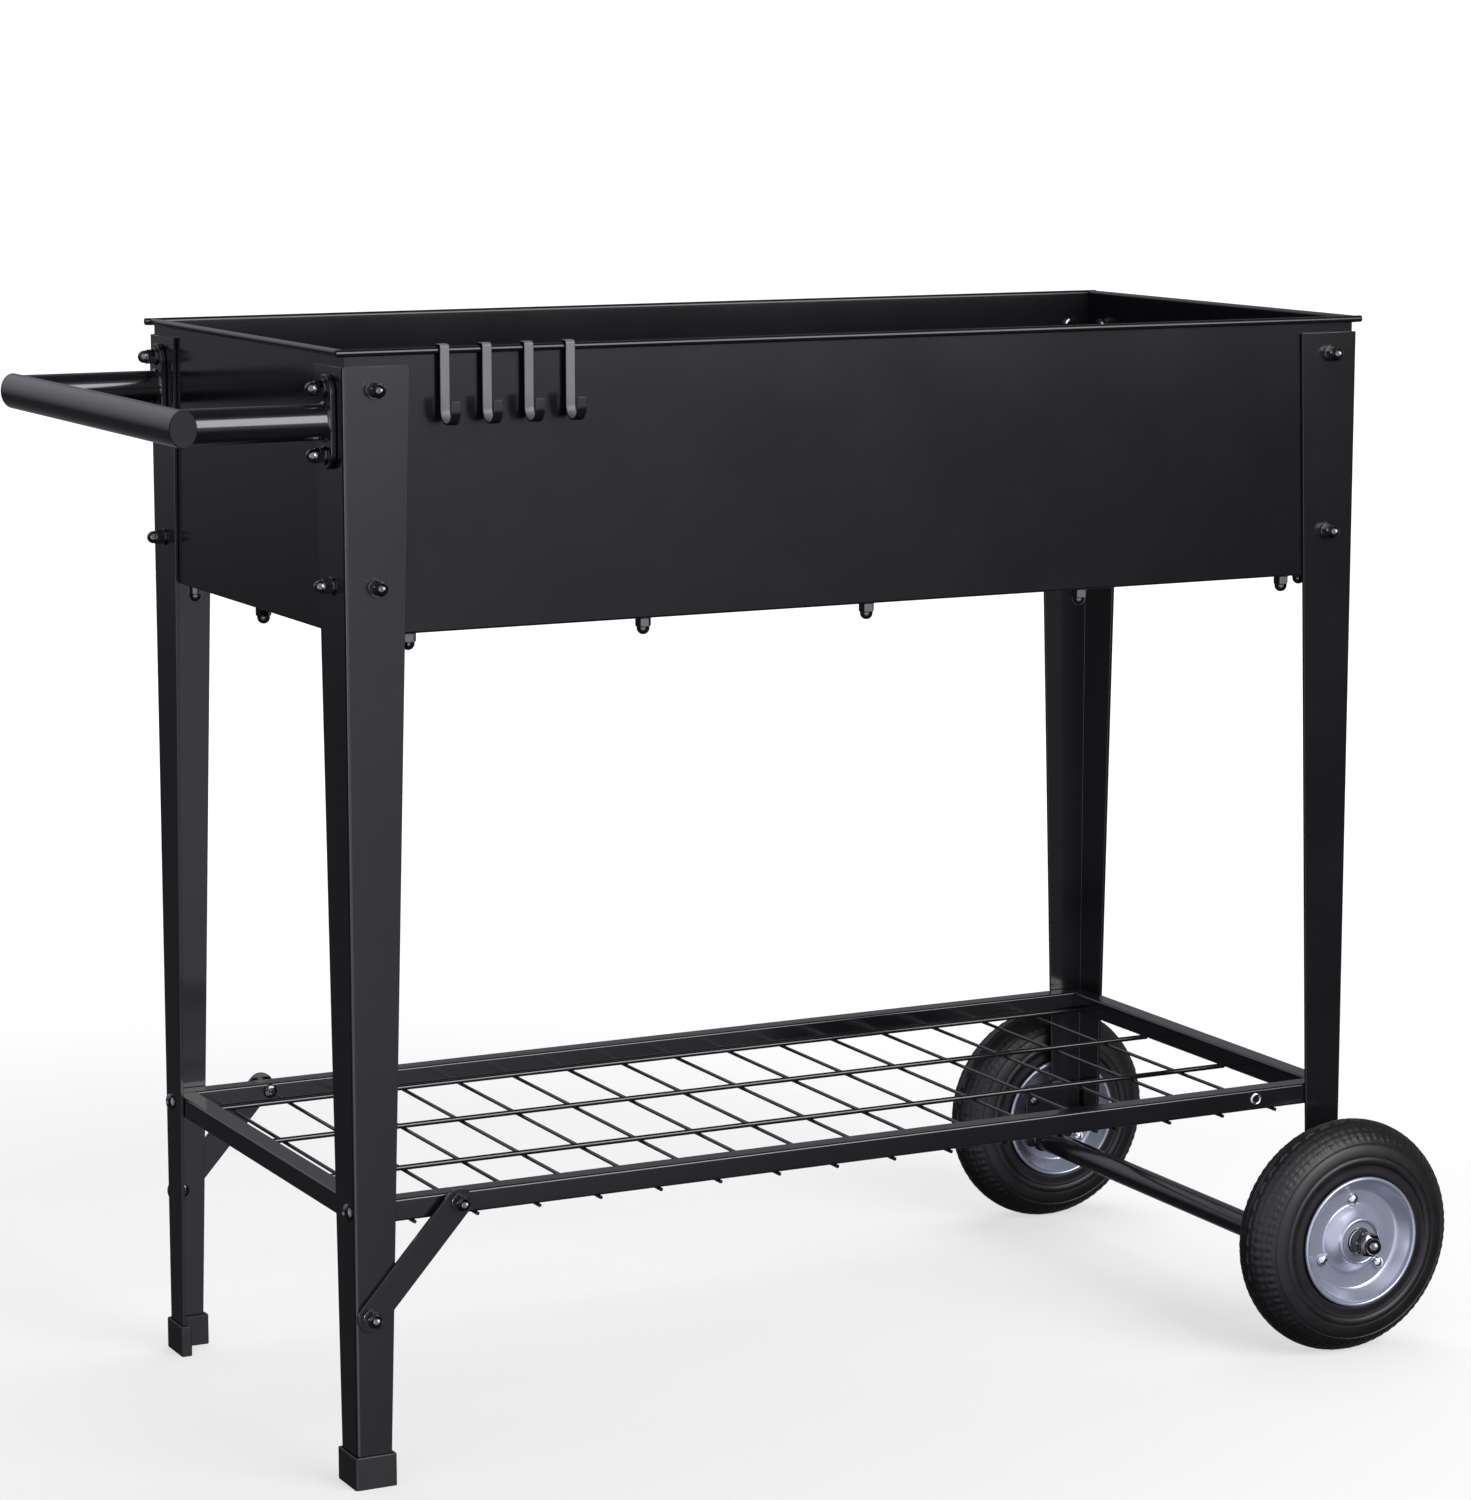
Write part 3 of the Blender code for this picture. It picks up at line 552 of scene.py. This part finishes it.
def hub(label, side):
    """Bush between the rim halves, with a collar that fills the space inside them."""
    half = [(HUB_HALF, 0.0056), (HUB_HALF, 0.0095), (HUB_HALF - 0.0004, 0.0099), (0.0208, 0.0099),
            (0.0208, 0.0148)]
    rings = [(-along, radius) for along, radius in half] + half[::-1]
    bm = bmesh.new()
    turned(bm, rings, (AXLE_X, side * WHEEL_Y, TYRE_R), (0, side, 0), 48, closed=True)
    place(bm, f"hub_sleeve_{label}", f"wheel_{label}", ZINC, [f"hub_{label}"])


def wheels():
    for label, side in SIDES:
        tyre(label, side)
        rim(label, side, side, "outer")
        rim(label, side, -side, "inner")
        hub(label, side)
        axle_bolt(label, side)


def axle_bolt(label, side):
    """Shouldered bolt with a hex head inside the bracket, a spacer, a hex nut and a tall domed nut."""
    head = HALF_WID - LEG_T - 2 * GAP - BRACKET_T
    start, end = WHEEL_Y - HUB_HALF - GAP, WHEEL_Y + HUB_HALF + GAP
    flat, corner = 0.0084, 0.0097
    rings = [(head - 0.0060, 0), (head - 0.0060, flat), (head - 0.0053, corner, flat), (head, corner, flat),
             (head, 0.005), (HALF_WID + GAP, 0.005), (HALF_WID + GAP, 0.0090), (start, 0.0090),
             (start, 0.005), (end, 0.005), (end, 0.0086), (end + 0.0003, corner, flat),
             (end + 0.0070, corner, flat), (end + 0.0078, flat), (end + 0.0080, 0.0064),
             (end + 0.0086, 0.0064), (end + 0.0088, flat), (end + 0.0096, corner, flat),
             (end + 0.0140, corner, flat), (end + 0.0148, 0.0074), (end + 0.0150, 0.0066)]
    rings += [(end + 0.0165 + 0.0064 * math.sin(math.radians(a)), 0.0066 * math.cos(math.radians(a)))
              for a in (0, 15, 30, 45, 60, 75)] + [(end + 0.0229, 0)]
    bm = bmesh.new()
    turned(bm, rings, (AXLE_X, 0, TYRE_R), (0, side, 0), 48, turn=0.35)
    place(bm, f"axle_nut_{label}", "frame", GLOSS, [f"axle_bolt_{label}"], sharp=26)


# ---------------------------------------------------------------- hooks

def hooks():
    """Strip hooks over the front hem: the side inside the J is satin light grey, a painted sheen for the
    light its face catches, and the other side is black.
    """
    hem_y = -(PANEL_Y + HEM_R - SHEET)
    reach = HEM_R + GAP + HOOK_T
    bend = HOOK_BEND - HOOK_T / 2
    bend_y = hem_y - reach - bend
    fold, top = HOOK_FOLD_R, HEM_Z + reach
    path = [(hem_y + reach, HOOK_BACK_Z)] + arc((hem_y + reach - fold, top - fold), fold, 0, 90, 5)
    path += arc((hem_y - reach + fold, top - fold), fold, 90, 180, 5)
    path += arc((bend_y, HOOK_BEND_Z), bend, 0, -180, 20) + [(bend_y - bend, HOOK_TIP_Z)]
    for i in range(HOOK_COUNT):
        x = HOOK_X0 + i * HOOK_PITCH
        bm = bmesh.new()
        for face in ribbon(bm, path, HOOK_T, "X", [(x - HOOK_W / 2, x + HOOK_W / 2)] * len(path)):
            # the side inside the J gets the light grey painted-sheen material
            face.material_index = 1
        place(bm, f"hook_strip_{i + 1}", f"hook_{i + 1}_body", COAT, [f"hook_{i + 1}"],
              bevel=0.0003, materials=(HOOK_PAINTED_SHEEN,))


# ---------------------------------------------------------------- fasteners

def screw(bm, origin, direction, grip):
    """Pan-head screw, washer, hex nut and dome. The origin is on the outermost clamped face."""
    flat, corner = 0.0050, 0.00577
    back = -grip
    rings = [(back - 0.0012, 0), (back - 0.0012, 0.0016), (back - 0.0030, 0.0018), (back - 0.0030, 0.0034),
             (back - 0.0024, 0.0047), (back - 0.0012, 0.0054), (back, 0.0055), (back, 0.0030),
             (0.0, 0.0030), (0.0, 0.0062), (0.0003, 0.0065), (0.0011, 0.0065), (0.0014, 0.0062),
             (0.0014, 0.0053), (0.0017, corner, flat), (0.0070, corner, flat), (0.0077, flat - 0.0002),
             (0.0079, 0.0047)]
    rings += [(0.0088 + 0.0046 * math.sin(math.radians(a)), 0.0047 * math.cos(math.radians(a)))
              for a in (0, 18, 36, 54, 72)] + [(0.0134, 0)]
    turned(bm, rings, origin, direction, 36, turn=0.2)


def frame_screws():
    clamp = LEG_T + GAP + SHEET
    for label, sx, sy in CORNERS:
        bm = bmesh.new()
        nodes = []
        for level, z in (("upper", BOLT_Z_HIGH), ("lower", BOLT_Z_LOW)):
            screw(bm, (sx * FRONT_BOLT_X, sy * HALF_WID, z), (0, sy, 0), clamp)
            nodes.append(f"bolt_side_{label}_{level}")
        heights = (HANDLE_Z + PLATE_BOLT, HANDLE_Z - PLATE_BOLT, BOLT_Z_LOW) if sx < 0 else \
            (BOLT_Z_HIGH, BOLT_Z_LOW)
        for index, z in enumerate(heights, 1):
            extra = PLATE_T + GAP if sx < 0 and index < 3 else 0.0
            screw(bm, (sx * (HALF_LEN + extra), sy * END_BOLT_Y, z), (sx, 0, 0), clamp + extra)
            nodes.append(f"bolt_end_{label}_{index}")
        place(bm, f"screws_{label}", "frame", GLOSS, nodes, sharp=26)
    for label, sy in SIDES:
        face = HALF_WID + GAP + BRACE_T
        bm = bmesh.new()
        screw(bm, (BRACE_LOW[0], sy * face, BRACE_LOW[1]), (0, sy, 0), face - HALF_WID + LEG_T)
        screw(bm, (BRACE_HIGH[0], sy * face, BRACE_HIGH[1]), (0, sy, 0), face - RAIL_Y + RAIL)
        turned(bm, [(0.0, 0.0032), (0.0, 0.0060), (HALF_WID + GAP - RAIL_Y, 0.0060),
                    (HALF_WID + GAP - RAIL_Y, 0.0032)], (BRACE_HIGH[0], sy * RAIL_Y, BRACE_HIGH[1]),
               (0, sy, 0), 32, closed=True)
        place(bm, f"brace_screws_{label}", "frame", GLOSS,
              [f"bolt_brace_{label}_low", f"bolt_brace_{label}_high"], sharp=26)


def pan_head(bm, origin, direction, radius=0.0045, height=0.0026):
    """Low domed head with a shallow drive recess."""
    rings = [(0.0, 0), (0.0, radius), (height * 0.35, radius * 0.98), (height * 0.75, radius * 0.78),
             (height, radius * 0.42), (height * 0.55, radius * 0.34), (height * 0.50, 0)]
    turned(bm, rings, origin, direction, 28)


def small_fasteners():
    """Floor nuts with their heads in the tub, shelf screws and rivet nuts."""
    spots = [(x, sy * FLOOR_ROW_Y) for sy in (-1, 1) for x in FLOOR_ROW_X]
    spots += [(sx * FLOOR_END_X, y) for sx in (-1, 1) for y in FLOOR_END_Y]
    bm = bmesh.new()
    for x, y in spots:
        screw(bm, (x, y, TUB_BOTTOM), (0, 0, -1), FLOOR_Z - TUB_BOTTOM)
    place(bm, "floor_fasteners", "frame", GLOSS, sharp=30)
    bm = bmesh.new()
    for _, sx, sy in CORNERS:
        pan_head(bm, (sx * HALF_LEN, sy * SHELF_SCREW_Y, SHELF_SCREW_Z), (sx, 0, 0), SHELF_SCREW_R,
                 SHELF_SCREW_H)
    for side in (-1, 1):
        inner_y = side * (HALF_WID - LEG_T - GAP - BRACKET_T)
        pan_head(bm, (BRACKET_SCREW[0], inner_y, BRACKET_SCREW[1]), (0, -side, 0))
        pan_head(bm, (LEG_SCREW[0], side * HALF_WID, LEG_SCREW[1]), (0, side, 0))
    place(bm, "shelf_screws", "frame", GLOSS, sharp=40)
    bm = bmesh.new()
    for side in (-1, 1):
        turned(bm, [(-0.0020, 0.0026), (0.0002, 0.0026), (0.0008, 0.0031), (0.0010, 0.0040),
                    (0.0006, 0.0050), (0.0, 0.0052), (-0.0005, 0.0045)],
               (RIVET_NUT_X, side * RAIL_Y, RAIL_Z + 0.0004), (0, side, 0), 36, closed=True)
    place(bm, "rivet_nuts", "frame", ZINC, sharp=60)


# ---------------------------------------------------------------- stage

def emitter(name, location, target, size, energy):
    light = bpy.data.lights.new(name, "AREA")
    light.shape = "RECTANGLE"
    light.size, light.size_y = size
    light.energy = energy
    obj = bpy.data.objects.new(name, light)
    obj.location = location
    aim = Vector(target) - Vector(location)
    obj.rotation_euler = aim.to_track_quat("-Z", "Y").to_euler()
    bpy.context.scene.collection.objects.link(obj)
    return obj


def world():
    """Bright backdrop for the eye; the gloss reflects a dim room with broad glows round the trolley."""
    room = bpy.data.worlds.new("studio")
    room.use_nodes = True
    bpy.context.scene.world = room
    nodes, links = room.node_tree.nodes, room.node_tree.links
    nodes.clear()
    output = nodes.new("ShaderNodeOutputWorld")
    mix = nodes.new("ShaderNodeMixShader")
    eye = add(nodes, "ShaderNodeBackground", Color=(1, 1, 1, 1), Strength=1.05)
    soft = add(nodes, "ShaderNodeBackground", Color=(*ROOM_TINT, 1))
    path = nodes.new("ShaderNodeLightPath")
    coords = nodes.new("ShaderNodeTexCoord")
    level = None
    for direction, start, peak, strength in GLOWS:
        toward = nodes.new("ShaderNodeVectorMath")
        toward.operation = "DOT_PRODUCT"
        toward.inputs[1].default_value = direction
        glow = add(nodes, "ShaderNodeMapRange", From_Min=start, From_Max=peak, To_Min=0.0, To_Max=strength)
        total = nodes.new("ShaderNodeMath")
        total.inputs[0].default_value = ROOM_LEVEL
        links.new(coords.outputs["Generated"], toward.inputs[0])
        links.new(toward.outputs["Value"], glow.inputs["Value"])
        if level:
            links.new(level, total.inputs[0])
        links.new(glow.outputs["Result"], total.inputs[1])
        level = total.outputs["Value"]
    links.new(level, soft.inputs["Strength"])
    links.new(path.outputs["Is Camera Ray"], mix.inputs["Fac"])
    links.new(soft.outputs["Background"], mix.inputs[1])
    links.new(eye.outputs["Background"], mix.inputs[2])
    links.new(mix.outputs["Shader"], output.inputs["Surface"])


def floor_material():
    """Pale floor with a painted glow of its own (emission), dimmed round the trolley into a broad painted
    shade so that its shadow reads.
    """
    mat = bpy.data.materials.new("floor_white")
    mat.use_nodes = True
    nodes, links = mat.node_tree.nodes, mat.node_tree.links
    shader = nodes["Principled BSDF"]
    shader.inputs["Base Color"].default_value = (FLOOR_GREY, FLOOR_GREY, FLOOR_GREY, 1)
    shader.inputs["Roughness"].default_value = 0.9
    shader.inputs["Specular IOR Level"].default_value = 0.0
    shader.inputs["Emission Color"].default_value = (1, 1, 1, 1)
    coords = nodes.new("ShaderNodeTexCoord")
    reach = nodes.new("ShaderNodeVectorMath")
    reach.operation = "LENGTH"
    # painted glow of the floor: dimmest round the trolley as painted shade, full further out
    painted_glow = add(nodes, "ShaderNodeMapRange", From_Min=0.8, From_Max=2.8, To_Min=FLOOR_PAINTED_GLOW, To_Max=1.0)
    links.new(coords.outputs["Object"], reach.inputs[0])
    links.new(reach.outputs["Value"], painted_glow.inputs["Value"])
    links.new(painted_glow.outputs["Result"], shader.inputs["Emission Strength"])
    return mat


def stage():
    bm = bmesh.new()
    turned(bm, [(0.0, 0), (0.0, 30.0)], (0, 0, 0), (0, 0, 1), 96)
    mesh = bpy.data.meshes.new("studio_floor")
    bm.to_mesh(mesh)
    bm.free()
    mesh.materials.append(floor_material())
    ground = bpy.data.objects.new("studio_floor", mesh)
    ground.visible_glossy = ground.visible_diffuse = False
    bpy.context.scene.collection.objects.link(ground)
    world()
    emitter("front", (1.1, -3.1, 2.0), (-0.2, 0, 0.7), (2.6, 2.6), 150)
    emitter("left", (-3.4, -1.9, 0.7), (0, 0, 0.5), (0.35, 1.8), 11)
    emitter("top", (0.9, 0.9, 3.2), (0, 0, 0.2), (2.8, 2.8), 90).visible_glossy = False
    bpy.context.scene.view_settings.view_transform = "Standard"


def camera():
    """Eye-level view from the handle end and front, slightly down on the tub."""
    azimuth, elevation = math.radians(-26.946), math.radians(9.214)
    data = bpy.data.cameras.new("camera")
    data.sensor_width, data.lens = 36.0, 105.31
    data.clip_start, data.clip_end = 0.05, 60.0
    back = Vector((math.sin(azimuth) * math.cos(elevation), -math.cos(azimuth) * math.cos(elevation),
                   math.sin(elevation)))
    obj = bpy.data.objects.new("camera", data)
    obj.location = (-1.51772 + ORIGIN_X, -2.95151, 1.00733)
    obj.rotation_mode = "QUATERNION"
    obj.rotation_quaternion = (-back).to_track_quat("-Z", "Y")
    bpy.context.scene.collection.objects.link(obj)
    bpy.context.scene.camera = obj


frame["nodes"]["tub_floor"].data.materials.clear()
frame["nodes"]["tub_floor"].data.materials.append(PANEL)
tub()
legs()
boots()
handle()
shelf()
braces()
axle_bar()
wheels()
hooks()
frame_screws()
small_fasteners()
stage()
camera()
